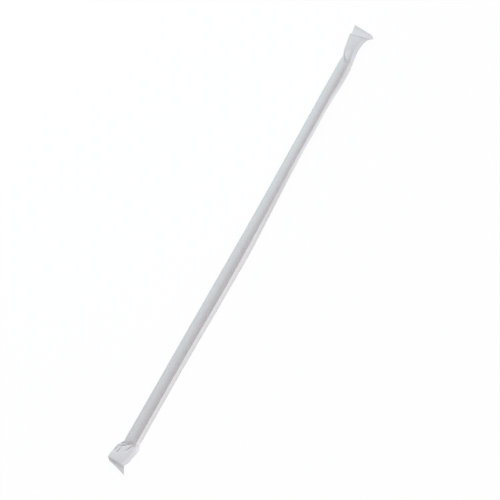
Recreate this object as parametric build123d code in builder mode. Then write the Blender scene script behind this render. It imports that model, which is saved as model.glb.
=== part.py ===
"""Drinking straw in a closed paper wrapper, lying on its underside.

The wrapper is one strip of paper, glued into a tube along a seam and pressed
flat past both ends of the straw. It is closed and opaque, so the straw and the
paper round it are one solid. The straw runs along X, slightly bowed, and the
seam is on the -Y side. One end leans sideways in gathers, the other flares; both
tips are bent.
"""

import os
from dataclasses import dataclass, replace
from math import atan2, cos, degrees, hypot, pi, radians, sin, tan

from build123d import *

# Straw, and the paper drawn round it
straw_length = 260.0
straw_diameter = 5.84
straw_bow = 0.7
paper_play = 0.08
underside_pressed = 0.15

# Seam, two layers of paper glued into a fin
seam_width = 2.2
seam_thickness = 0.4
seam_gap = 0.75
seam_crease_height = 1.0
seam_lift_gap = 0.1
seam_spans = 26

# Flat tube past the ends of the straw
flat_thickness = 0.4
flat_puff = 0.2
flat_puff_share = 0.55

# Leaning end: gathers, flat, fold, and a tip bent down
lean_angle = 12.0
lean_aside = 0.9
gather_length = 4.3
gather_bulge = 1.1
gather_share = 0.4
lean_flat_length = 9.15
lean_flat_height = 3.8
lean_fold_height = 4.0
lean_fold_narrowing = 1.0
lean_tip_length = 3.05
lean_tip_turn = 17.3
lean_tip_skew = 1.9
lean_tip_high = 2.8
lean_tip_low = 1.5

# Flared end: neck, ridge, and a tip bent down beyond it
flare_length = 14.0
flare_spans = 10
flare_bend = 5.0
flare_pinch = 0.9
flare_sag = 0.4
ridge_turn = 14.0
ridge_aside = 0.75
ridge_height = 4.6
flare_tip_length = 5.2
flare_tip_turn = -4.0
flare_tip_aside = 0.1
flare_tip_height = 2.3
flare_tip_inset = 1.0
flare_tip_inset_share = 0.2
flare_tip_corner = 1.4
flare_tip_corner_share = 0.5

# Creases of the gathers, V-shaped and tapered to both ends
crease_opening = 1.0
crease_depth = 0.5
flat_crease_depth = 0.18

tube_radius = straw_diameter / 2 + paper_play
axis_height = tube_radius - underside_pressed
flat_width = pi * tube_radius + seam_width


@dataclass
class Section:
    """One cut across the wrapper: a round side, a crease, and the seam's edge.

    Points are given out to the seam side and up from the table.
    """

    along: float
    turn: float
    centre: Vector
    radius: float
    crease: Vector
    edge: Vector
    crease_thickness: float
    edge_thickness: float


def tangent_point(centre, radius, point, side):
    """Where a line from the point touches the circle, on its upper (1) or lower (-1) side."""
    to_point = point - centre
    reach = to_point.length
    toward = to_point.normalized()
    near = radius * radius / reach
    across = radius * (reach * reach - radius * radius) ** 0.5 / reach
    return centre + toward * near + Vector(-toward.Y, toward.X) * (side * across)


def outline(section):
    """Closed face of a section: round the straw, down to the crease, out to the edge and back."""
    angle = radians(section.turn)
    out = Vector(sin(angle), -cos(angle), 0)
    plane = Plane(origin=(section.along, 0, 0), x_dir=out, z_dir=out.cross(Vector(0, 0, 1)))
    crease_half = Vector(0, section.crease_thickness / 2)
    edge_half = Vector(0, section.edge_thickness / 2)
    upper = tangent_point(section.centre, section.radius, section.crease + crease_half, 1)
    lower = tangent_point(section.centre, section.radius, section.crease - crease_half, -1)
    back = section.centre - (section.crease - section.centre).normalized() * section.radius
    with BuildSketch(plane) as face:
        with BuildLine():
            ThreePointArc(lower, back, upper)
            Polyline(
                upper,
                section.crease + crease_half,
                section.edge + edge_half,
                section.edge - edge_half,
                section.crease - crease_half,
                lower,
            )
        make_face()
    return face.sketch


def mix(start, end, share):
    return start + (end - start) * share


def eased(share):
    return share * share * (3 - 2 * share)


def arched(share):
    """Rises from 0 to 1 half-way, and falls back to 0."""
    return 4 * share * (1 - share)


def lying_seam(share, width):
    """Seam on the table: place along the straw, turn and reach of its crease, width and droop."""
    out = tube_radius + seam_gap
    crease_turn = degrees(atan2(seam_crease_height - axis_height, out))
    fall = seam_crease_height - seam_thickness / 2
    return (
        share,
        crease_turn,
        hypot(out, seam_crease_height - axis_height),
        hypot(width, fall),
        degrees(atan2(fall, width)),
    )


def lifted_seam(share, turn, width, droop):
    """Seam turned up round the straw, in the same terms."""
    return share, turn, tube_radius + seam_lift_gap + seam_thickness / 2, width, droop


def tube_section(share, turn, reach, width, droop):
    centre = Vector(straw_bow * arched(share), axis_height)
    crease = centre + Vector(cos(radians(turn)), sin(radians(turn))) * reach
    edge = crease + Vector(cos(radians(droop)), -sin(radians(droop))) * width
    return Section(
        share * straw_length, 0, centre, tube_radius, crease, edge, seam_thickness, seam_thickness
    )


def seam_at(share):
    """Seam at any place along the straw, eased between the stations either side of it."""
    after = next(i for i, key in enumerate(seam_stations) if key[0] >= share and i > 0)
    start, end = seam_stations[after - 1], seam_stations[after]
    blend = eased((share - start[0]) / (end[0] - start[0]))
    return tube_section(share, *(mix(a, b, blend) for a, b in zip(start[1:], end[1:])))


def flat_section(along, turn, left, right, left_height, right_height):
    """Flattened tube between a folded left side and the seam's edge on the right."""
    radius = flat_thickness / 2
    centre = Vector(left + radius, left_height)
    edge = Vector(right, right_height)
    crease = mix(centre, edge, flat_puff_share)
    return Section(along, turn, centre, radius, crease, edge, flat_thickness + flat_puff, flat_thickness)


def centred_flat(along, turn, aside, width, left_height, right_height):
    return flat_section(along, turn, aside - width / 2, aside + width / 2, left_height, right_height)


def section_between(start, end, share, edge_share):
    """Section on the way from one to another, with its own share for the seam's edge."""
    edge_out = mix(start.edge.X, end.edge.X, edge_share)
    return Section(
        mix(start.along, end.along, share),
        mix(start.turn, end.turn, share),
        mix(start.centre, end.centre, share),
        mix(start.radius, end.radius, share),
        mix(start.crease, end.crease, share),
        Vector(edge_out, mix(start.edge.Y, end.edge.Y, share)),
        mix(start.crease_thickness, end.crease_thickness, share),
        mix(start.edge_thickness, end.edge_thickness, share),
    )


def lowered(section, drop):
    """The same section, nearer to the table."""
    down = Vector(0, -drop)
    return replace(
        section, centre=section.centre + down, crease=section.crease + down, edge=section.edge + down
    )


# The seam lies on the table along the first half, then turns up against the straw.
seam_stations = [
    lying_seam(0.0, seam_width - 0.15),
    lying_seam(0.3, seam_width),
    lying_seam(0.5, seam_width + 0.35),
    lifted_seam(0.6, 5, seam_width + 0.3, 34),
    lifted_seam(0.73, 28, seam_width - 0.35, 10),
    lifted_seam(0.9, 22, seam_width - 0.35, 4),
    lifted_seam(0.94, 12, seam_width - 0.15, 6),
    lifted_seam(1.0, 40, seam_width - 0.1, 27),
]
tube = [seam_at(i / seam_spans) for i in range(seam_spans + 1)]

# Leaning end, from the straw out to the cut edge; cut straight across, the leaning tube is wider
lean_slope = tan(radians(lean_angle))
lean_width = flat_width / cos(radians(lean_angle))
fold_along = -gather_length - lean_flat_length
fold_aside = lean_aside - lean_flat_length * lean_slope
middle_height = (lean_flat_height + lean_fold_height) / 2
lean_start = centred_flat(-gather_length, 0, lean_aside, lean_width, lean_flat_height, lean_flat_height)
lean_middle = centred_flat(
    -gather_length - lean_flat_length / 2,
    0,
    lean_aside - lean_flat_length / 2 * lean_slope,
    lean_width,
    middle_height,
    middle_height,
)
lean_fold = centred_flat(
    fold_along, 0, fold_aside, lean_width - lean_fold_narrowing, lean_fold_height, lean_fold_height
)
lean_tip = centred_flat(
    fold_along - lean_tip_length,
    -lean_tip_turn,
    fold_aside + lean_tip_skew,
    flat_width,
    lean_tip_high,
    lean_tip_low,
)
gathers = section_between(tube[0], lean_start, gather_share, gather_share)
gathers.edge = gathers.edge + Vector(gather_bulge, 0)

# Flared end, from the straw out to the cut edge
ridge_along = straw_length + flare_length
ridge_width = flat_width / cos(radians(ridge_turn))
ridge = centred_flat(ridge_along, ridge_turn, ridge_aside, ridge_width, ridge_height, ridge_height)
flare_tip = centred_flat(
    ridge_along + flare_tip_length,
    flare_tip_turn,
    flare_tip_aside,
    flat_width,
    flare_tip_height,
    flare_tip_height,
)


def flare_section(share):
    """Section of the neck, pinched on the seam side and sagging on its way to the ridge."""
    section = section_between(tube[-1], ridge, share, share ** flare_bend)
    section.edge = section.edge - Vector(flare_pinch * arched(share), 0)
    return lowered(section, flare_sag * share * share)


def flare_tip_section(share):
    """Section of the bent tip, steep by the ridge and level at the cut edge."""
    section = section_between(ridge, flare_tip, share, share)
    return lowered(section, (ridge_height - flare_tip_height) * share * (1 - share))


flare = [flare_section(i / flare_spans) for i in range(flare_spans)]
tip_inset = flare_tip_section(flare_tip_inset_share)
tip_inset.centre = tip_inset.centre + Vector(flare_tip_inset, 0)
tip_corner = flare_tip_section(flare_tip_corner_share)
tip_corner.edge = tip_corner.edge + Vector(flare_tip_corner, 0)

# Creases of the leaning end on plan: how many gather lengths beyond the straw and how far out to the
# seam side, from start to finish, then depth
lean_creases = [
    (0.14, 1.0, 1.05, -4.4, crease_depth),
    (0.23, 1.0, 1.12, -3.3, crease_depth),
    (0.40, 3.1, 1.25, 1.4, flat_crease_depth),
    (1.12, -2.5, 2.12, -3.8, flat_crease_depth),
]
# Creases of the flared end, in the same order, but in millimetres beyond the straw
flare_creases = [
    (-3.1, 1.5, -0.4, -2.0, crease_depth),
    (-3.9, 1.2, -1.2, 2.0, flat_crease_depth),
]


def on_top(part, x, y):
    """Highest point of the part above a place on plan."""
    upright = Axis((x, y, 0), (0, 0, 1))
    return max(
        (point for face in part.faces() for point, normal in face.find_intersection_points(upright)),
        key=lambda point: point.Z,
    )


def cut_crease(part, start_plan, end_plan, depth):
    """Cut one crease into the paper, deepest half-way along."""
    start = on_top(part, *start_plan)
    end = on_top(part, *end_plan)
    half_way = on_top(part, (start.X + end.X) / 2, (start.Y + end.Y) / 2)
    run = end - start
    with BuildSketch(Plane(origin=half_way, x_dir=Vector(0, 0, 1).cross(run), z_dir=run)) as notch:
        with BuildLine():
            Polyline((-crease_opening, depth), (crease_opening, depth), (0, -depth), close=True)
        make_face()
    loft([Vertex(*start), notch.sketch, Vertex(*end)], ruled=True, mode=Mode.SUBTRACT)


with BuildPart() as shaped:
    # Tube drawn round the straw, with its seam
    loft([outline(section) for section in tube], ruled=True)

    # Leaning end
    lean = (lean_tip, lean_fold, lean_middle, lean_start, gathers, tube[0])
    loft([outline(section) for section in lean], ruled=True)

    # Flared end
    loft([outline(section) for section in (*flare, ridge)], ruled=True)
    loft([outline(section) for section in (ridge, tip_inset, tip_corner, flare_tip)], ruled=True)

    # Underside, pressed flat where it rests
    split(bisect_by=Plane.XY, keep=Keep.TOP)

    # Gathers
    smooth = shaped.part
    for start_beyond, start_out, end_beyond, end_out, depth in lean_creases:
        start_plan = (-gather_length * start_beyond, -start_out)
        cut_crease(smooth, start_plan, (-gather_length * end_beyond, -end_out), depth)
    for start_beyond, start_out, end_beyond, end_out, depth in flare_creases:
        start_plan = (straw_length + start_beyond, -start_out)
        cut_crease(smooth, start_plan, (straw_length + end_beyond, -end_out), depth)

# The origin is under the middle of the whole wrapper, on the table.
middle = shaped.part.bounding_box().center()
with BuildPart() as wrapped_straw:
    add(shaped.part.moved(Location((-middle.X, -middle.Y, 0))))

os.makedirs("parts", exist_ok=True)
wrapped_straw.part.label = "wrapped_straw"
export_step(wrapped_straw.part, "parts/wrapped_straw.step")
box = wrapped_straw.part.bounding_box()
print("box", box.min, box.max, "moved by", -middle.X, -middle.Y)
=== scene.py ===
# %% [markdown]
# # A drinking straw in its paper wrapper
# The real thing is one strip of thin white paper, drawn round a straw, glued into a tube along a
# fin seam and pressed flat past both ends of the straw. The CAD solid gives its size, its place and
# its main folds. This lesson makes the paper itself: a fine mesh with the seam, the gathers and the
# cut edges, a Geometry Nodes tree that crumples it, and a paper finish made of nodes.

# %% Load the solid and keep its box
from math import cos, pi, radians, sin

import bmesh
import bpy
import numpy as np
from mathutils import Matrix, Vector


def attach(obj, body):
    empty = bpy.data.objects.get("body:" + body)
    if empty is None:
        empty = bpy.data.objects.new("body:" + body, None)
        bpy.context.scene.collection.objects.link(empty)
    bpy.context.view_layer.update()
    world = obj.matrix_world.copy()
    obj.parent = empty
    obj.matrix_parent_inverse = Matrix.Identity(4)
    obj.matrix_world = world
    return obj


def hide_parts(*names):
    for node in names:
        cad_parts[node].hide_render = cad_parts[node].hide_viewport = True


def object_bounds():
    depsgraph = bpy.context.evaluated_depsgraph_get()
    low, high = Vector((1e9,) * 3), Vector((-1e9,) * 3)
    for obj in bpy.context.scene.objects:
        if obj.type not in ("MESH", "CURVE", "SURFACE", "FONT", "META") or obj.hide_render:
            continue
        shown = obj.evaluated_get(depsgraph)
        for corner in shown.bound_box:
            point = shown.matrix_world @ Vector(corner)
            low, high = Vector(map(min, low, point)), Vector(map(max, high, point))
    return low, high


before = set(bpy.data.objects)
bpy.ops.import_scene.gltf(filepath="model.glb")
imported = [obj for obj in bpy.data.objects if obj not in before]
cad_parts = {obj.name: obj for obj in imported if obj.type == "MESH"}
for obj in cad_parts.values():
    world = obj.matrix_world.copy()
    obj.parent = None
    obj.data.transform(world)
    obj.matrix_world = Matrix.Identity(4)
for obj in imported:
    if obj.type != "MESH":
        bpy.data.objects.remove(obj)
cad_low, cad_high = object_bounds()
print("solid from", tuple(cad_low), "to", tuple(cad_high))

# %% [markdown]
# ## The straw's place
# All the paper is described from the straw's lower end, in millimetres: along the straw, out to the
# seam side, and up from the table. It could be described in the part's own frame, but the numbers
# would then say less about the straw. The wrapper reaches past that end and out to the seam by known
# amounts, so the solid's box says where the end of the straw is.

# %% Sizes of the tube and its place in the frame
mm = 0.001
tube_radius = 3.0
underside_pressed = 0.15
gathered_end_reach = 18.48
seam_side_reach = 7.70

axis_height = tube_radius - underside_pressed
straw_start = cad_low.x / mm + gathered_end_reach
straw_side = cad_low.y / mm + seam_side_reach


def in_frame(points):
    """Points along, out and up in millimetres, as metres in the part's frame."""
    along, out, up = np.moveaxis(points, -1, 0)
    return np.stack([along + straw_start, straw_side - out, up], -1) * mm


print(f"straw's lower end at x = {straw_start:.2f} mm, y = {straw_side:.2f} mm")

# %% [markdown]
# ## The seam
# The two edges of the strip are glued face to face into a fin. Along the first half of the straw
# the fin lies on the table; then it turns up round the straw. The straw itself is slightly bowed out
# to that side. A curve with a flat bevel could draw the fin, but as a second piece beside the tube.
# Here each station gives a place along the straw, its bow, the angle round the straw where the fin
# starts, the gap between the straw and that crease, and the fin's width, droop and curl. Smooth
# curves through the stations give the rest, and the tube and its fin stay one sheet.

# %% Seam stations
seam_stations = np.array([
    # along, bow, crease angle, crease gap, fin width, droop and curl
    (0.0, 0.00, -26.0, 0.95, 2.44, 21.5, -0.10),
    (24.0, 0.18, -28.0, 0.70, 2.46, 21.5, -0.10),
    (76.0, 0.34, -28.0, 0.65, 2.65, 21.0, -0.10),
    (94.0, 0.44, -26.5, 0.83, 2.65, 21.0, -0.10),
    (112.0, 0.54, -26.0, 0.85, 2.67, 21.0, -0.10),
    (129.0, 0.64, -25.0, 0.52, 3.00, 22.0, -0.10),
    (138.0, 0.70, -16.0, 0.25, 3.10, 30.0, -0.08),
    (147.0, 0.72, -5.0, 0.06, 3.02, 37.0, -0.06),
    (156.0, 0.71, 9.0, 0.06, 2.75, 36.5, -0.04),
    (165.0, 0.66, 18.0, 0.06, 2.41, 27.0, -0.04),
    (174.0, 0.61, 22.0, 0.06, 2.15, 20.0, -0.04),
    (191.0, 0.46, 29.0, 0.06, 1.88, 10.0, -0.04),
    (200.0, 0.38, 28.0, 0.06, 1.72, 7.0, -0.04),
    (209.0, 0.32, 26.0, 0.06, 1.86, 5.5, -0.04),
    (227.0, 0.16, 26.0, 0.06, 1.80, 5.5, -0.04),
    (235.0, 0.08, 25.0, 0.06, 2.06, 8.0, -0.04),
    (244.0, 0.03, 17.0, 0.06, 2.36, 13.5, -0.04),
    (250.0, 0.01, 20.0, 0.06, 2.56, 13.5, -0.04),
    (254.0, 0.00, 27.0, 0.06, 2.65, 15.5, -0.04),
    (258.0, 0.00, 37.0, 0.06, 2.38, 26.0, -0.04),
    (264.0, 0.00, 43.0, 0.06, 2.30, 28.0, -0.04),
])


def eased(share):
    """A share from 0 to 1 that starts and ends gently."""
    share = np.clip(share, 0, 1)
    return share * share * (3 - 2 * share)


def flowing(at, stations):
    """Values at places along the wrapper, on smooth curves through the stations' columns."""
    keys, values = stations[:, 0], stations[:, 1:]
    slopes = np.gradient(values, keys, axis=0)
    before = np.clip(np.searchsorted(keys, at) - 1, 0, len(keys) - 2)
    span = (keys[before + 1] - keys[before])[:, None]
    share = np.clip((at - keys[before])[:, None] / span, 0, 1)
    start, end = values[before], values[before + 1]
    leave = share * (1 - share) ** 2 * span * slopes[before]
    arrive = share * share * (share - 1) * span * slopes[before + 1]
    return start + (end - start) * eased(share) + leave + arrive


print(len(seam_stations), "seam stations")

# %% [markdown]
# ## The flat ends
# Past the straw the tube is pressed flat and closed. A cloth simulation could press it, but it would
# not come to rest in these outlines, so each flat stretch is a set of chords laid one by one. A chord has
# the folded side on its left and the fin's free edge on its right, each with its place. It also says
# how flat the underside is there, from 0 to 1, how wide the fin is, how far air puffs the paper up,
# and how far its layers lie double. The upper side comes down from the straw's rim to the flat at a
# place and over a length of its own, which are given across the wrapper.
# Straight lines join the chords, and a short running average rounds the folds as paper does.

# %% Chords of the gathered end
gathered_end = np.array([
    # key, left (along, out, up), edge (along, out, up), flatness, fin width, puff, double (a share that
    # also paints shade)
    (0.0, 1.50, -3.00, 2.85, 3.30, 5.79, 0.70, 0.00, 2.15, 0.30, 0.35),
    (1.5, 0.00, -2.87, 3.20, 1.70, 5.93, 1.40, 0.10, 2.05, 0.50, 0.45),
    (3.0, -1.51, -3.18, 3.70, 0.03, 6.51, 2.20, 0.40, 1.95, 1.60, 0.75),
    (4.5, -3.02, -4.40, 4.20, -1.60, 7.40, 2.90, 0.80, 2.20, 1.30, 0.95),
    (6.0, -4.56, -5.16, 4.30, -3.18, 7.18, 3.40, 1.00, 2.20, 1.00, 0.85),
    (9.0, -7.52, -5.77, 4.35, -6.52, 6.53, 3.80, 1.00, 2.20, 0.78, 0.72),
    (12.0, -10.45, -6.17, 4.40, -10.34, 5.80, 4.10, 1.00, 2.20, 0.60, 0.68),
    (14.0, -12.37, -6.39, 4.35, -12.55, 5.05, 4.25, 1.00, 2.10, 0.45, 0.68),
    (15.0, -13.37, -6.50, 4.30, -13.87, 4.30, 4.30, 1.00, 2.00, 0.30, 0.70),
    (17.4, -14.31, -5.45, 3.75, -16.15, 5.47, 3.10, 1.00, 2.00, 0.06, 0.85),
    (19.8, -15.20, -4.40, 3.40, -18.50, 6.67, 2.40, 1.00, 2.00, 0.06, 0.75),
])
gathered_rim = np.array([
    # share across the wrapper, key where the upper side is half-way down, length of the way down
    (0.00, 5.9, 2.1),
    (0.09, 5.1, 2.1),
    (0.20, 4.2, 2.1),
    (0.31, 3.4, 2.2),
    (0.42, 3.0, 2.6),
    (0.54, 2.9, 3.6),
    (0.68, 3.0, 3.6),
    (0.80, 3.0, 3.0),
    (1.00, 2.8, 2.1),
])
print(len(gathered_end), "chords at the gathered end")

# %% Chords of the flared end
flared_end = np.array([
    # columns as at the gathered end
    (256.0, 256.00, -2.97, 2.85, 255.40, 5.25, 3.50, 0.00, 2.40, 0.20, 0.35),
    (257.6, 257.70, -2.95, 3.00, 256.90, 4.85, 3.55, 0.05, 2.30, 0.20, 0.35),
    (259.4, 259.60, -2.95, 3.30, 258.70, 4.47, 3.60, 0.20, 2.20, 0.25, 0.35),
    (260.9, 261.10, -3.28, 3.60, 260.40, 4.30, 3.70, 0.40, 2.20, 0.30, 0.20),
    (262.4, 262.56, -3.63, 3.80, 262.30, 4.00, 3.80, 0.65, 2.20, 0.40, 0.20),
    (265.4, 265.50, -4.12, 4.00, 265.30, 3.67, 3.90, 0.95, 2.20, 0.45, 0.20),
    (268.3, 268.40, -4.64, 4.10, 268.20, 3.82, 4.00, 1.00, 2.20, 0.40, 0.20),
    (270.8, 270.40, -4.97, 4.20, 271.30, 4.26, 4.10, 1.00, 2.20, 0.30, 0.20),
    (273.2, 272.30, -5.22, 4.34, 274.75, 5.62, 4.22, 1.00, 2.10, 0.12, 0.24),
    (274.2, 273.05, -5.12, 4.64, 275.62, 7.00, 4.64, 1.00, 2.00, 0.05, 0.25),
    (275.1, 274.05, -4.45, 3.95, 276.25, 7.80, 3.90, 1.00, 2.00, 0.05, 0.25),
    (276.8, 275.95, -4.88, 2.95, 277.15, 7.88, 3.00, 1.00, 2.00, 0.05, 0.25),
    (278.2, 277.60, -5.28, 2.55, 277.95, 6.95, 2.60, 1.00, 2.00, 0.05, 0.15),
    (279.7, 279.45, -5.48, 2.55, 278.60, 5.67, 2.60, 1.00, 2.00, 0.05, 0.05),
])
flared_rim = np.array([
    (0.00, 261.0, 6.4),
    (1.00, 260.8, 6.4),
])
print(len(flared_end), "chords at the flared end")

# %% Places between the chords
fold_softness = 0.28  # half the length of the running average
fold_steps = 7


def came_down(key, rim, share):
    """How far the upper side is down at shares across the wrapper: 0 on the straw, 1 when flat."""
    half_way = np.interp(share, rim[:, 0], rim[:, 1])
    length = np.interp(share, rim[:, 0], rim[:, 2])
    return eased((key - half_way) / length + 0.5)


def chords_at(at, stations):
    """Chords at places along an end, without their keys, with folds rounded over a short length."""
    steps = np.linspace(-fold_softness, fold_softness, fold_steps)

    def rounded(column):
        return np.mean([np.interp(at + step, stations[:, 0], column) for step in steps], 0)

    return np.stack([rounded(column) for column in stations[:, 1:].T], -1)


print("folds rounded over", 2 * fold_softness, "mm")

# %% [markdown]
# ## One row of paper
# Every row of the mesh goes once round the wrapper: in along the top of the fin, over the straw, under
# it, and out along the underside of the fin. A loft between a round and a flat profile could make the
# change from tube to flat, but paper doesn't stretch. So the stretch between the fin's two faces is
# measured out evenly by length, and a round row and a flat row can be blended point by point. The
# blend is then pulled out to the chord's own ends, so the outline follows the chords.

# %% Points that every row shares
round_points = 96  # round the straw, from one face of the fin to the other
fin_points = 9  # on each face of the fin
layer_pair = 0.16  # thickness of two layers of paper
edge_groove = 0.12  # depth of the groove between two cut edges
upwards = np.array([0.0, 1.0])
half_pair = layer_pair / 2 * upwards
row_size = 2 * fin_points + round_points + 1
top_side = np.arange(row_size) < fin_points + round_points / 2


def arched(share):
    """0 at both ends of a span and 1 in its middle."""
    return 4 * share * (1 - share)


def even(points, count):
    """Points spaced evenly along a line through the given ones."""
    lengths = np.r_[0, np.cumsum(np.linalg.norm(np.diff(points, axis=0), axis=1))]
    at = np.linspace(0, lengths[-1], count)
    return np.stack([np.interp(at, lengths, column) for column in points.T], -1)


def fin_line(crease, edge, curl):
    """Middle line of the fin from its crease to its free edge, bowed by the curl."""
    share = np.linspace(0, 1, fin_points + 1)[:, None]
    return crease + (edge - crease) * share + arched(share) * curl * upwards


def closed_row(body, fin):
    """Body points with both faces of the fin and a groove between its two layers."""
    back = (fin[-2] - fin[-1]) / np.linalg.norm(fin[-2] - fin[-1])
    groove = fin[-1] + back * edge_groove
    return np.concatenate([fin[:0:-1] + half_pair, body, fin[1:] - half_pair, groove[None]])


print(row_size, "points in each row")

# %% Round rows
arc_points = 180  # of the fine arc that a row's points are spaced out on


def tangent_angle(point, side):
    """Angle round the straw where the paper leaves it for a point beside it."""
    offset = point - (0, axis_height)
    reach = max(np.linalg.norm(offset), tube_radius)
    return np.arctan2(offset[1], offset[0]) + side * np.arccos(tube_radius / reach)


def round_row(bow, crease_angle, crease_gap, fin_width, fin_droop, fin_curl):
    """Row drawn round the straw, as points out and up."""
    turn, droop = radians(crease_angle), radians(fin_droop)
    reach = tube_radius + crease_gap
    crease = np.array([reach * cos(turn), axis_height + reach * sin(turn)])
    edge = crease + np.array([cos(droop), -sin(droop)]) * fin_width
    first = tangent_angle(crease + half_pair, 1)
    last = tangent_angle(crease - half_pair, -1) + 2 * pi
    angles = np.linspace(first, last, arc_points)
    arc = np.stack([np.cos(angles), np.sin(angles)], -1) * tube_radius + (0, axis_height)
    body = even(np.concatenate([[crease + half_pair], arc, [crease - half_pair]]), round_points)
    return closed_row(body, fin_line(crease, edge, fin_curl)) + (bow, 0)


first_row = round_row(*seam_stations[0, 1:])
print("the first round row is", round(np.ptp(first_row[:, 0]), 2), "mm wide with its fin")

# %% Flat rows
side_points = 60  # of the fine lines along the upper and the lower layer
fold_points = 9  # round the folded side
flat_fin_curl = 0.03
underside_puff = 1 / 3  # of the upper side's


def flat_row(width, fin_width, puff):
    """Row pressed flat, as points across from the left fold and up from the chord."""
    crease = np.array([width - fin_width, 0.0])
    fold = np.array([layer_pair / 2, 0.0])
    share = np.linspace(0, 1, side_points)[:, None]
    swell = puff * arched(share) * upwards
    over = crease + half_pair + (fold - crease) * share
    under = (crease - half_pair + (fold - crease) * share)[::-1]
    angles = np.linspace(pi / 2, 3 * pi / 2, fold_points)[1:-1]
    turn = fold + np.stack([np.cos(angles), np.sin(angles)], -1) * layer_pair / 2
    body = even(np.concatenate([over + swell, turn, under - swell * underside_puff]), round_points)
    return closed_row(body, fin_line(crease, np.array([width, 0.0]), flat_fin_curl))


print("a flat row is", layer_pair, "mm thick where no air is in it")

# %% Rows between round and flat
pull_full = 0.10  # flatness from which a row is pulled out in full
pull_powers = (1, 3)  # across and up: what lifts the row stays near the fin's edge


def paper_row(chord, seam, key, rim):
    """A row between the round tube and a chord: points along, out and up, and how flat each is."""
    left, edge = chord[0:3], chord[3:6]
    flatness, fin_width, puff = chord[6:9]
    width = np.linalg.norm((edge - left)[1:])
    flat = flat_row(width, fin_width, puff)
    share = np.clip(flat[:, :1] / width, 0, 1)
    pressed = left[1:] + (edge - left)[1:] * share + flat * upwards
    drawn = round_row(*seam)
    down = np.where(top_side[:, None], came_down(key, rim, share), flatness)
    row = drawn + (pressed - drawn) * down
    pulled = eased(flatness / pull_full)
    shift_left = (left[1] - row[:, 0].min(), 0)
    shift_edge = edge[1:] - row[0] + half_pair
    share = np.clip((row[:, :1] - row[:, 0].min()) / (row[0, 0] - row[:, 0].min()), 0, 1)
    row = row + pulled * ((1 - share) * shift_left + share ** pull_powers * shift_edge)
    return np.column_stack([left[0] + (edge[0] - left[0]) * share[:, 0], row, down])


def straw_row(along, seam):
    """A row on the straw: points along, out and up, and 0 because none is flat."""
    return np.insert(round_row(*seam), (0, 2), (along, 0), axis=1)


print("rows are pulled out to their chords from a flatness of", pull_full)

# %% [markdown]
# ## All the rows
# The paper runs from the bent tip of the gathered end to the flap of the flared end. Even rows could
# cover it, but folds need close rows and the straight tube doesn't, so rows are close together at the
# ends and further apart along the straw. The gathered tip's cut edge runs in a little between its two
# corners, as the edge of curled paper does when it is seen from above.

# %% Lay the rows from the gathered tip to the flared tip
end_spacing = 0.16
straw_spacing = 1.2
edge_along_column = 4  # in the tables of chords
flatness_column = 6  # in a chord, which has no key
double_column = 9


def spaced(start, end, spacing):
    """Places from start to end, no closer than the spacing."""
    return np.linspace(start, end, int(abs(end - start) / spacing) + 1)


gathered_keys = spaced(gathered_end[-1, 0], gathered_end[0, 0], end_spacing)
flared_keys = spaced(flared_end[0, 0], flared_end[-1, 0], end_spacing)
straw_from = gathered_end[0, edge_along_column]
straw_to = flared_end[0, edge_along_column]
straw_keys = spaced(straw_from, straw_to, straw_spacing)[1:-1]

gathered_chords = chords_at(gathered_keys, gathered_end)
flared_chords = chords_at(flared_keys, flared_end)
gathered_seams = flowing(np.maximum(gathered_chords[:, 0], 0), seam_stations)
flared_seams = flowing(np.minimum(flared_keys, seam_stations[-1, 0]), seam_stations)
gathered_rows = [
    paper_row(chord, seam, key, gathered_rim)
    for chord, seam, key in zip(gathered_chords, gathered_seams, gathered_keys)
]
straw_rows = [
    straw_row(along, seam)
    for along, seam in zip(straw_keys, flowing(straw_keys, seam_stations))
]
flared_rows = [
    paper_row(chord, seam, key, flared_rim)
    for chord, seam, key in zip(flared_chords, flared_seams, flared_keys)
]
print(len(gathered_rows), len(straw_rows), len(flared_rows), "rows at the ends and on the straw")

# %% Hollow the gathered tip and join the rows
tip_fold = 15.0  # key of the fold that the tip hangs from
tip_length = gathered_end[-1, 0] - tip_fold
tip_hollow = 0.35  # by which the cut edge runs in between its corners

for key, row in zip(gathered_keys, gathered_rows):
    share = (row[:, 1] - row[:, 1].min()) / np.ptp(row[:, 1])
    row[:, 0] += tip_hollow * arched(share) * eased((key - tip_fold) / tip_length)


def of_every_row(column):
    """A column of the chords for every row, 0 along the straw."""
    on_straw = np.zeros(len(straw_rows))
    return np.concatenate([gathered_chords[:, column], on_straw, flared_chords[:, column]])


laid = np.array(gathered_rows + straw_rows + flared_rows)
rows, pressed = laid[..., :3], laid[..., 3:]
looseness = of_every_row(flatness_column)
# share of double paper; on the flat ends it also paints shade
layering_and_shade = of_every_row(double_column)
row_count = len(rows)
print("rows and points", rows.shape[:2])

# %% [markdown]
# ## Gathers and creases
# Where the tube is forced flat, the spare paper gathers into pleats that fan out from the end of the
# straw. They could be sculpted by hand or painted as bump, but sculpting can't be read in a script and
# bump has no outline. So each pleat is a line on plan with a depth and a width on each side of it. It
# pushes the upper paper in towards the straw, into a sharp valley that tapers away at both ends; where
# the tube is flat, both sides of it go straight down together. A pleat with a depth below nothing is a
# crest.

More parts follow.
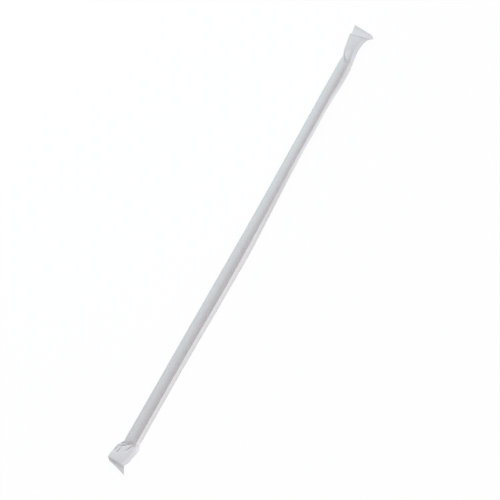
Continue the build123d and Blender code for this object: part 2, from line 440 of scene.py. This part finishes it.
# %% Lines of the pleats
pleats = [
    # points (along, out), depth, half-widths to the left and right of the line
    ([(-0.5, 0.2), (-0.9, -0.7), (-1.9, -2.2), (-2.75, -3.5), (-3.95, -5.1), (-7.2, -9.2)],
     1.00, 0.70, 0.50),
    ([(-1.8, -0.8), (-2.7, -1.6), (-3.6, -2.7), (-4.4, -3.8)],
     -0.22, 0.40, 0.40),
    ([(-1.2, 1.4), (-1.9, 0.4), (-3.2, -0.7), (-4.0, -2.0), (-4.6, -3.5), (-5.3, -6.3)],
     0.70, 0.45, 0.45),
    ([(0.6, 4.0), (-0.7, 3.8), (-1.8, 3.2), (-2.7, 2.5), (-3.9, 1.9), (-5.2, 1.3), (-7.0, 0.5)],
     0.62, 0.70, 0.70),
    ([(-4.5, -2.2), (-6.9, -2.7), (-9.7, -3.6)],
     0.80, 0.45, 0.45),
    ([(-4.2, -4.2), (-6.6, -4.6), (-9.2, -5.3)],
     0.60, 0.45, 0.45),
    ([(0.4, -2.2), (0.4, 2.8)],
     0.10, 1.60, 1.60),
    ([(262.4, -4.2), (260.9, -2.9), (259.7, -2.0), (258.3, -0.7), (257.0, 0.6), (255.6, 2.0)],
     1.20, 1.60, 0.75),
    ([(263.4, 1.4), (261.7, 2.35), (259.6, 2.8), (257.0, 2.7)],
     0.45, 0.80, 0.80),
    ([(262.6, -1.6), (260.4, 0.3), (258.4, 1.8)],
     -0.08, 1.00, 1.00),
    ([(262.0, 1.6), (272.6, -4.4)],
     -0.15, 2.20, 2.20),
]
pleat_taper = 0.6  # below 1, a pleat stays deep until close to its ends
pleat_sharpness = 1.4  # above 1, its valley is sharper than its rims


def pleat_push(points, line, left_width, right_width):
    """How far into a pleat each point lies, 1 in its valley and 0 outside it."""
    line = np.array(line)
    lengths = np.linalg.norm(np.diff(line, axis=0), axis=1)
    starts = np.r_[0, np.cumsum(lengths)] / lengths.sum()
    away = np.full(points.shape[:-1], np.inf)
    share = np.zeros(points.shape[:-1])
    half_width = np.ones(points.shape[:-1])
    for start, end, first, last in zip(line, line[1:], starts, starts[1:]):
        run = end - start
        offset = points[..., :2] - start
        part = np.clip(offset @ run / (run @ run), 0, 1)
        gap = np.linalg.norm(offset - part[..., None] * run, axis=-1)
        on_left = run[0] * offset[..., 1] > run[1] * offset[..., 0]
        nearer = gap < away
        share = np.where(nearer, first + part * (last - first), share)
        half_width = np.where(nearer, np.where(on_left, left_width, right_width), half_width)
        away = np.minimum(away, gap)
    taper = np.clip(arched(share), 0, 1) ** pleat_taper
    return np.clip(1 - away / half_width, 0, 1) ** pleat_sharpness * taper


print(len(pleats), "pleats")

# %% Press the pleats into the rows
no_length = 1e-9


def inwards(points):
    """Directions into the paper, square to the rows and to the lines that cross them."""
    across = np.gradient(points, axis=1)
    along = np.gradient(points, axis=0)
    normals = np.cross(across, along)
    # the middle of a row is on the side away from the seam, where inwards is towards the seam
    normals *= np.sign(normals[row_count // 2, row_size // 2, 1])
    return normals / np.maximum(np.linalg.norm(normals, axis=-1, keepdims=True), no_length)


straight_down = np.array([0.0, 0.0, -1.0])
into_paper = inwards(rows)
upper_way = into_paper + (straight_down - into_paper) * pressed
lower_way = straight_down * looseness[:, None, None] ** 2
way = np.where(top_side[:, None], upper_way, lower_way)
crease_shade_mask = np.zeros(rows.shape[:2])
plan = rows.copy()
for line, depth, left_width, right_width in pleats:
    push = pleat_push(plan, line, left_width, right_width)
    rows = rows + depth * push[..., None] * way
    # the pleats' push is kept as a mask for painted shade in the creases
    crease_shade_mask = np.maximum(crease_shade_mask, push * top_side * (depth > 0))
rows[..., 2] = np.maximum(rows[..., 2], 0)
print("deepest move", round(np.abs(rows - plan).max(), 2), "mm")

# %% [markdown]
# ## The mesh
# Rows become quads. At each tip the two layers of paper are cut off together, so a strip of faces with
# a shallow groove along its middle closes the end and shows the two cut edges. A Solidify modifier
# could thicken a single sheet instead, but nobody sees into a sealed wrapper, so its closed outside is
# all that is made.

# %% Faces of the walls and of the cut ends
groove_rows = 3  # rows from a tip to the one that shows which way is in


def cut_layers(row):
    """The upper layer of a row and its lower one, each from the fin's edge to the folded side."""
    half = row_size // 2
    last = row_size - 2  # the point after it is the fin's groove
    return row[:half], row[last:last - half:-1]


def tip_groove(row, inner_row):
    """Middle line of a cut end, set back a little between its two layers."""
    middle = np.mean(cut_layers(row), 0)
    inner = np.mean(cut_layers(inner_row), 0)
    inward = (inner - middle) / np.linalg.norm(inner - middle, axis=1, keepdims=True)
    return middle + inward * edge_groove


def wall_faces():
    """Quads between neighbouring rows, right round."""
    for near in range(0, (row_count - 1) * row_size, row_size):
        far = near + row_size
        for point in range(row_size):
            beside = (point + 1) % row_size
            yield (near + point, near + beside, far + beside, far + point)


def tip_faces(row, groove_start, turned):
    """Faces between a cut end's upper edge, its groove and its lower edge."""
    places = list(range(row * row_size, (row + 1) * row_size))
    upper, lower = cut_layers(places)
    fin_groove = places[-1]
    groove = list(range(groove_start, groove_start + len(upper)))
    faces = [(a, b, d, c) for a, b, c, d in zip(upper, upper[1:], groove, groove[1:])]
    faces += [(a, b, d, c) for a, b, c, d in zip(groove, groove[1:], lower, lower[1:])]
    faces.append((upper[-1], lower[-1], groove[-1]))
    faces.append((lower[0], fin_groove, groove[0]))
    faces.append((fin_groove, upper[0], groove[0]))
    return [face[::-1] for face in faces] if turned else faces


first_groove = tip_groove(rows[0], rows[groove_rows])
last_groove = tip_groove(rows[-1], rows[-1 - groove_rows])
points = np.concatenate([rows.reshape(-1, 3), first_groove, last_groove])
groove_start = row_count * row_size
faces = list(wall_faces())
faces += tip_faces(0, groove_start, False)
faces += tip_faces(row_count - 1, groove_start + len(first_groove), True)
print(len(points), "points")

# %% Build the wrapper's mesh
mesh = bpy.data.meshes.new("paper_wrapper")
mesh.from_pydata(in_frame(points).tolist(), [], faces)
shaping = bmesh.new()
shaping.from_mesh(mesh)
bmesh.ops.recalc_face_normals(shaping, faces=shaping.faces)
open_edges = sum(1 for edge in shaping.edges if not edge.is_manifold)
shaping.to_mesh(mesh)
volume = shaping.calc_volume()
shaping.free()
wrapper = bpy.data.objects.new("paper_wrapper", mesh)
bpy.context.scene.collection.objects.link(wrapper)
print(len(mesh.polygons), "faces,", open_edges, "open edges, volume", round(volume / mm ** 3), "mm3")

# %% [markdown]
# ## What the paper is like from place to place
# Four numbers are kept at every point for the later steps: how loose the paper is, so that it crumples
# only where no straw holds it; how far it lies double, a share that also paints shade on the flat ends;
# how much painted light from the lit table shows through the fin; and how deep the pleats press it,
# which paints shade into the creases. Painted masks could hold them, but attributes worked out from the
# rows stay true when a station moves.

# %% Store the paper's numbers on its points
fin_looseness = 0.3  # of the fin beside the straw
# raises the fin's double share, which is partly its glued layers' whiteness and partly painted shade
seam_gain = 1.2  # how much more double the fin is than the flat paper beside it
# painted light from the lit table showing through the fin: added below this height, faded towards the
# fin's free edge
table_light_height = 3.4  # height of the fin's edge from which the table no longer shows through
edge_fade = 0.75  # share of the table's white that is lost towards the fin's edge

fin_mask = np.zeros(row_size)
fin_mask[:fin_points] = 1
fin_mask[fin_points + round_points:] = 1
fin_share = np.zeros(row_size)
fin_share[:fin_points] = np.linspace(1, 0, fin_points)
fin_share[fin_points + round_points:-1] = np.linspace(0, 1, fin_points)
fin_share[-1] = 1
groove_points = len(first_groove) + len(last_groove)


def store(name, values, in_grooves):
    """Keeps a number for every point of the rows, and one for the grooves of both tips."""
    column = np.concatenate([values.reshape(-1), np.full(groove_points, in_grooves)])
    mesh.attributes.new(name, "FLOAT", "POINT").data.foreach_set("value", column.astype(np.float32))


flat = looseness[:, None]
double_and_shade = layering_and_shade[:, None]
lying = np.clip(1 - rows[:, :1, 2] / table_light_height, 0, 1) * (1 - flat)
store("looseness", np.maximum(flat, fin_looseness * fin_mask), 1.0)
# glued layers whiten the paper; the lower shares on the flat ends paint shade
store("layers_and_painted_shade", fin_mask * (1 - flat) + double_and_shade * (1 + (seam_gain - 1) * fin_mask) * flat, 0.0)
# painted light from the table showing through the fin that lies on it
store("painted_table_light", lying * fin_mask * (1 - edge_fade * fin_share), 0.0)
store("crease_shade_mask", crease_shade_mask, 0.0)
print("stored", [a.name for a in mesh.attributes if not a.is_internal])

# %% [markdown]
# ## Writing node trees
# Nodes could be made and linked one call at a time, but node maths reads best as plain expressions. A
# Wire wraps one socket, so that adding or multiplying wires adds the Math nodes, and a Tree makes every
# other node: first its settings, then the values or wires of its sockets.

# %% Wires and trees


class Wire:
    """An output socket that can be used in Python expressions."""

    def __init__(self, tree, socket):
        self.tree = tree
        self.socket = socket

    def maths(self, operation, first, second):
        return self.tree.add("ShaderNodeMath", {"operation": operation}, {0: first, 1: second})

    def __add__(self, other):
        return self.maths("ADD", self, other)

    def __radd__(self, other):
        return self.maths("ADD", other, self)

    def __sub__(self, other):
        return self.maths("SUBTRACT", self, other)

    def __rsub__(self, other):
        return self.maths("SUBTRACT", other, self)

    def __mul__(self, other):
        return self.maths("MULTIPLY", self, other)

    def __rmul__(self, other):
        return self.maths("MULTIPLY", other, self)

    def __truediv__(self, other):
        return self.maths("DIVIDE", self, other)

    def __rtruediv__(self, other):
        return self.maths("DIVIDE", other, self)


class Tree:
    """A shader or geometry node tree."""

    def __init__(self, node_tree):
        self.node_tree = node_tree

    def add(self, kind, settings=None, inputs=None, output=0):
        """Makes a node, sets it up, fills or links its sockets, and gives one of its outputs."""
        node = self.node_tree.nodes.new(kind)
        for name, value in (settings or {}).items():
            setattr(node, name, value)
        for name, value in (inputs or {}).items():
            if isinstance(value, Wire):
                self.node_tree.links.new(value.socket, node.inputs[name])
            else:
                node.inputs[name].default_value = value
        return Wire(self, node.outputs[output]) if len(node.outputs) else node


print("node helpers ready")

# %% [markdown]
# ## Paper finish
# Thin uncoated paper is matt and nearly white. One layer over the hollow straw is coloured a little
# greyer than the two glued layers of the fin, partly the layers' own whiteness and partly painted shade
# from the hollow behind. Where the fin lies on the white table it is coloured whiter still, with painted
# light from the lit table showing through. Creases are darkened with painted shade. A translucent shader
# could let the light through, but the straw inside isn't modelled, so the colour paints how much light
# is behind the paper. Faint clouds and fine fibres break up the colour and roughen the surface.

# %% Paper material
# single and double colours: partly the paper's own whiteness, partly painted shade from the hollow straw
# behind one layer
single_paper = (0.624, 0.622, 0.617, 1)
double_paper = (0.764, 0.758, 0.757, 1)
# painted light: the lit white table showing through the fin where it lies low
table_light_paper = (0.976, 0.988, 0.986, 1)
# painted shade: how much darker the colour is made in the pleats' valleys
painted_crease_shade = 0.14
noise_middle = 0.5  # a Noise node's values lie about it
cloud_scale, cloud_detail, cloud_depth = 260.0, 3.0, 0.06
fibre_scale, fibre_detail, fibre_depth = 2600.0, 2.0, 0.03
least_roughness = 0.72
fibre_roughness = 0.16
paper_gloss = 0.25
grain_strength = 0.25
grain_height = 0.05 * mm
mix_first, mix_second, mix_result = 6, 7, 2  # places of the Mix node's colour sockets


def paper_finish():
    """Matt white paper that follows the numbers stored on its points."""
    material = bpy.data.materials.new("wrapper_paper")
    material.use_nodes = True
    material.node_tree.nodes.clear()
    tree = Tree(material.node_tree)
    place = tree.add("ShaderNodeTexCoord", output="Object")

    def stored(name):
        return tree.add("ShaderNodeAttribute", {"attribute_name": name}, output="Fac")

    def noise(scale, detail):
        return tree.add("ShaderNodeTexNoise", inputs={"Vector": place, "Scale": scale, "Detail": detail})

    def blend(share, first, second):
        sockets = {"Factor": share, mix_first: first, mix_second: second}
        return tree.add("ShaderNodeMix", {"data_type": "RGBA"}, sockets, mix_result)

    clouds = noise(cloud_scale, cloud_detail)
    fibres = noise(fibre_scale, fibre_detail)
    mottle = (clouds - noise_middle) * cloud_depth + (fibres - noise_middle) * fibre_depth
    # painted shade in the creases, with random clouds and fibres
    shade = 1 - stored("crease_shade_mask") * painted_crease_shade + mottle
    # layer colours mixed with painted shade and with painted light from the table
    layer_tone_and_painted_light = blend(stored("painted_table_light"), blend(stored("layers_and_painted_shade"), single_paper, double_paper), table_light_paper)
    colour = tree.add("ShaderNodeVectorMath", {"operation": "SCALE"}, {0: layer_tone_and_painted_light, "Scale": shade})
    grain = tree.add(
        "ShaderNodeBump",
        inputs={"Strength": grain_strength, "Distance": grain_height, "Height": fibres + clouds},
    )
    surface = tree.add(
        "ShaderNodeBsdfPrincipled",
        inputs={
            "Base Color": colour,
            "Roughness": least_roughness + fibres * fibre_roughness,
            "Specular IOR Level": paper_gloss,
            "Normal": grain,
        },
    )
    tree.add("ShaderNodeOutputMaterial", inputs={"Surface": surface})
    return material


paper = paper_finish()
print("finish", paper.name, "with", len(paper.node_tree.nodes), "nodes")

# %% [markdown]
# ## Crumpling the paper
# Loose paper is never smooth. Displacement in the material could crumple it, but the mesh would stay
# smooth wherever it is used again. So a Geometry Nodes tree pushes every point in or out along its
# normal by two sizes of noise, by more where the paper is loose, and then sets down on the table what
# was pushed through it. Its sizes are inputs with names, and its seed is fixed.

# %% Crumple tree
crumple_inputs = {
    "Wave Size": 4.5 * mm,
    "Wave Depth": 0.26 * mm,
    "Ripple Size": 1.1 * mm,
    "Ripple Depth": 0.07 * mm,
    "Held Share": 0.22,
    "Seed": 4.0,
}
crumple_detail = 2.0
lowest_place = (-1.0, -1.0, 0.0)  # in metres: the table's height, and sideways well past the wrapper


def crumple_tree(material):
    """Geometry Nodes that crumple loose paper and give it its finish."""
    group = bpy.data.node_groups.new("crumple_paper", "GeometryNodeTree")
    group.interface.new_socket("Geometry", in_out="INPUT", socket_type="NodeSocketGeometry")
    for name in crumple_inputs:
        group.interface.new_socket(name, in_out="INPUT", socket_type="NodeSocketFloat")
    group.interface.new_socket("Geometry", in_out="OUTPUT", socket_type="NodeSocketGeometry")
    tree = Tree(group)
    entry = group.nodes.new("NodeGroupInput")
    given = {socket.name: Wire(tree, socket) for socket in entry.outputs if socket.name}
    place = tree.add("GeometryNodeInputPosition")
    normal = tree.add("GeometryNodeInputNormal")
    loose = tree.add("GeometryNodeInputNamedAttribute", {"data_type": "FLOAT"}, {"Name": "looseness"})

    def noise(size):
        return tree.add(
            "ShaderNodeTexNoise",
            {"noise_dimensions": "4D"},
            {"Vector": place, "W": given["Seed"], "Scale": 1.0 / size, "Detail": crumple_detail},
        )

    waves = (noise(given["Wave Size"]) - noise_middle) * given["Wave Depth"]
    ripples = (noise(given["Ripple Size"]) - noise_middle) * given["Ripple Depth"]
    freedom = loose * (1 - given["Held Share"]) + given["Held Share"]
    lift = (waves + ripples) * freedom
    push = tree.add("ShaderNodeVectorMath", {"operation": "SCALE"}, {0: normal, "Scale": lift})
    crumpled = tree.add("GeometryNodeSetPosition", inputs={"Geometry": given["Geometry"], "Offset": push})
    on_table = tree.add("ShaderNodeVectorMath", {"operation": "MAXIMUM"}, {0: place, 1: lowest_place})
    settled = tree.add("GeometryNodeSetPosition", inputs={"Geometry": crumpled, "Position": on_table})
    realized = tree.add("GeometryNodeRealizeInstances", inputs={"Geometry": settled})
    finished = tree.add("GeometryNodeSetMaterial", inputs={"Geometry": realized, "Material": material})
    tree.add("NodeGroupOutput", inputs={"Geometry": finished})
    return group


group = crumple_tree(paper)
print("crumple tree with", len(group.nodes), "nodes")

# %% Crumple the wrapper
sharp_fold = 50.0  # degrees from which an edge stays sharp in smooth shading

crumple = wrapper.modifiers.new("crumple_paper", "NODES")
crumple.node_group = group
for socket in group.interface.items_tree:
    if socket.in_out == "INPUT" and socket.name in crumple_inputs:
        crumple[socket.identifier] = crumple_inputs[socket.name]

evaluated = wrapper.evaluated_get(bpy.context.evaluated_depsgraph_get())
crumpled_mesh = bpy.data.meshes.new_from_object(evaluated)
wrapper.modifiers.remove(crumple)
wrapper.data = crumpled_mesh
crumpled_mesh.shade_smooth()
crumpled_mesh.set_sharp_from_angle(angle=radians(sharp_fold))
print("crumpled", len(crumpled_mesh.vertices), "points with", crumpled_mesh.materials[0].name)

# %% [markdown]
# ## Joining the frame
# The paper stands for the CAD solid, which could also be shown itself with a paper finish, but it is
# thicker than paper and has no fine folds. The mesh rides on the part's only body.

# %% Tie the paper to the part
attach(wrapper, "root")
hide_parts("wrapped_straw")
print("wrapper stands for wrapped_straw")

# %% [markdown]
# ## Table
# The table is plain white. More light could turn it pure white, but it would wash out the paper. So
# the camera is shown nearly pure white, as in a cut-out studio picture, and a small share of real
# shading keeps the soft shadow under the straw.

# %% White table that keeps the shadow
table_size = 12.0
table_colour = (0.90, 0.90, 0.90, 1)
pure_white = (1, 1, 1, 1)
white_share = 0.96


def seen_directly(tree):
    """1 for what the camera sees, straight or in gloss or through glass."""
    rays = [tree.add("ShaderNodeLightPath", output=name) for name in
            ("Is Camera Ray", "Is Glossy Ray", "Is Transmission Ray")]
    both = tree.add("ShaderNodeMath", {"operation": "MAXIMUM"}, {0: rays[0], 1: rays[1]})
    return tree.add("ShaderNodeMath", {"operation": "MAXIMUM"}, {0: both, 1: rays[2]})


def table_finish():
    """A matt white that the camera sees as nearly pure white."""
    material = bpy.data.materials.new("white_table")
    material.use_nodes = True
    material.node_tree.nodes.clear()
    tree = Tree(material.node_tree)
    lit = tree.add("ShaderNodeBsdfDiffuse", inputs={"Color": table_colour})
    white = tree.add("ShaderNodeEmission", inputs={"Color": pure_white, "Strength": 1.0})
    share = seen_directly(tree) * white_share
    surface = tree.add("ShaderNodeMixShader", inputs={0: share, 1: lit, 2: white})
    tree.add("ShaderNodeOutputMaterial", inputs={"Surface": surface})
    return material


bpy.ops.mesh.primitive_plane_add(size=table_size, location=(0, 0, 0))
table = bpy.context.object
table.name = "table"
table.data.materials.append(table_finish())
print("table", table_size, "m across")

# %% [markdown]
# ## Light
# An even white surround fills the shadows, a wide soft light stands beyond the straw's far end, and a
# weak one on the seam side. Suns could do for all of them, but in the picture the lit side grows dimmer
# towards the gathered end. So a round lamp, a little cool, hangs less than half a metre away on the
# side opposite the seam, nearer to the flared end, and its light falls off along the straw. Together
# they light a surface that faces up to about its own colour.

# %% White surround
surround_level = 0.385

world = bpy.data.worlds.new("white_surround")
bpy.context.scene.world = world
world.use_nodes = True
world.node_tree.nodes.clear()
sky = Tree(world.node_tree)
level = seen_directly(sky) * (1 - surround_level) + surround_level
backdrop = sky.add("ShaderNodeBackground", inputs={"Color": pure_white, "Strength": level})
sky.add("ShaderNodeOutputWorld", inputs={"Surface": backdrop})
print("surround at", surround_level)

# %% Soft lights and the lamp at the side
soft_lights = {
    # direction, level, softness in degrees, colour
    "end_light": ((0.60, 0.00, 0.80), 1.28, 60.0, (1.03, 0.97, 1.06)),
    "seam_light": ((0.00, -0.75, 0.66), 0.36, 60.0, (1.00, 0.98, 1.00)),
}
side_direction = (0.0, 0.80, 0.60)
side_along = 0.10
side_distance = 0.45
side_size = 0.20
side_level = 1.255
side_colour = (0.76, 1.00, 1.08)


def hang_light(name, light, direction, colour):
    """Puts a light in the scene that shines from a direction."""
    light.color = colour
    lamp = bpy.data.objects.new(name, light)
    lamp.rotation_euler = Vector(direction).to_track_quat("Z", "Y").to_euler()
    bpy.context.scene.collection.objects.link(lamp)
    print(name, "from", direction)
    return lamp


for name, (direction, strength, softness, colour) in soft_lights.items():
    sun = bpy.data.lights.new(name, "SUN")
    sun.energy = strength
    sun.angle = radians(softness)
    hang_light(name, sun, direction, colour)

disc = bpy.data.lights.new("side_light", "AREA")
disc.shape = "DISK"
disc.size = side_size
disc.energy = side_level * pi * side_distance ** 2
side_lamp = hang_light("side_light", disc, side_direction, side_colour)
side_lamp.location = Vector(side_direction) * side_distance + Vector((side_along, 0, 0))

# %% [markdown]
# ## Camera
# The photograph looks down steeply from far away, so its lines are nearly parallel. An orthographic
# camera would make them quite parallel; a very long lens is closer to how such a picture is taken. The
# straw runs up to the right, so the camera is turned about the vertical by the angle between the straw
# and the picture's upright.

# %% Long lens above the straw
camera_elevation = radians(75.0)
straw_turn = radians(28.69)
picture_width = 286.45 * mm
picture_along = 133.37
picture_out = 5.58
picture_centre = Vector((straw_start + picture_along, straw_side - picture_out, 0)) * mm
lens = 1000.0
clip_reach = 4  # times the distance

camera_data = bpy.data.cameras.new("camera")
camera_data.lens = lens
camera = bpy.data.objects.new("camera", camera_data)
bpy.context.scene.collection.objects.link(camera)
bpy.context.scene.camera = camera
backwards = Vector((-cos(straw_turn), -sin(straw_turn), 0))
towards_camera = backwards * cos(camera_elevation) + Vector((0, 0, sin(camera_elevation)))
distance = picture_width * lens / camera_data.sensor_width
camera.location = picture_centre + towards_camera * distance
camera.rotation_euler = towards_camera.to_track_quat("Z", "Y").to_euler()
camera_data.clip_end = clip_reach * distance
bpy.context.scene.view_settings.view_transform = "Standard"
print("camera", round(distance, 2), "m away")
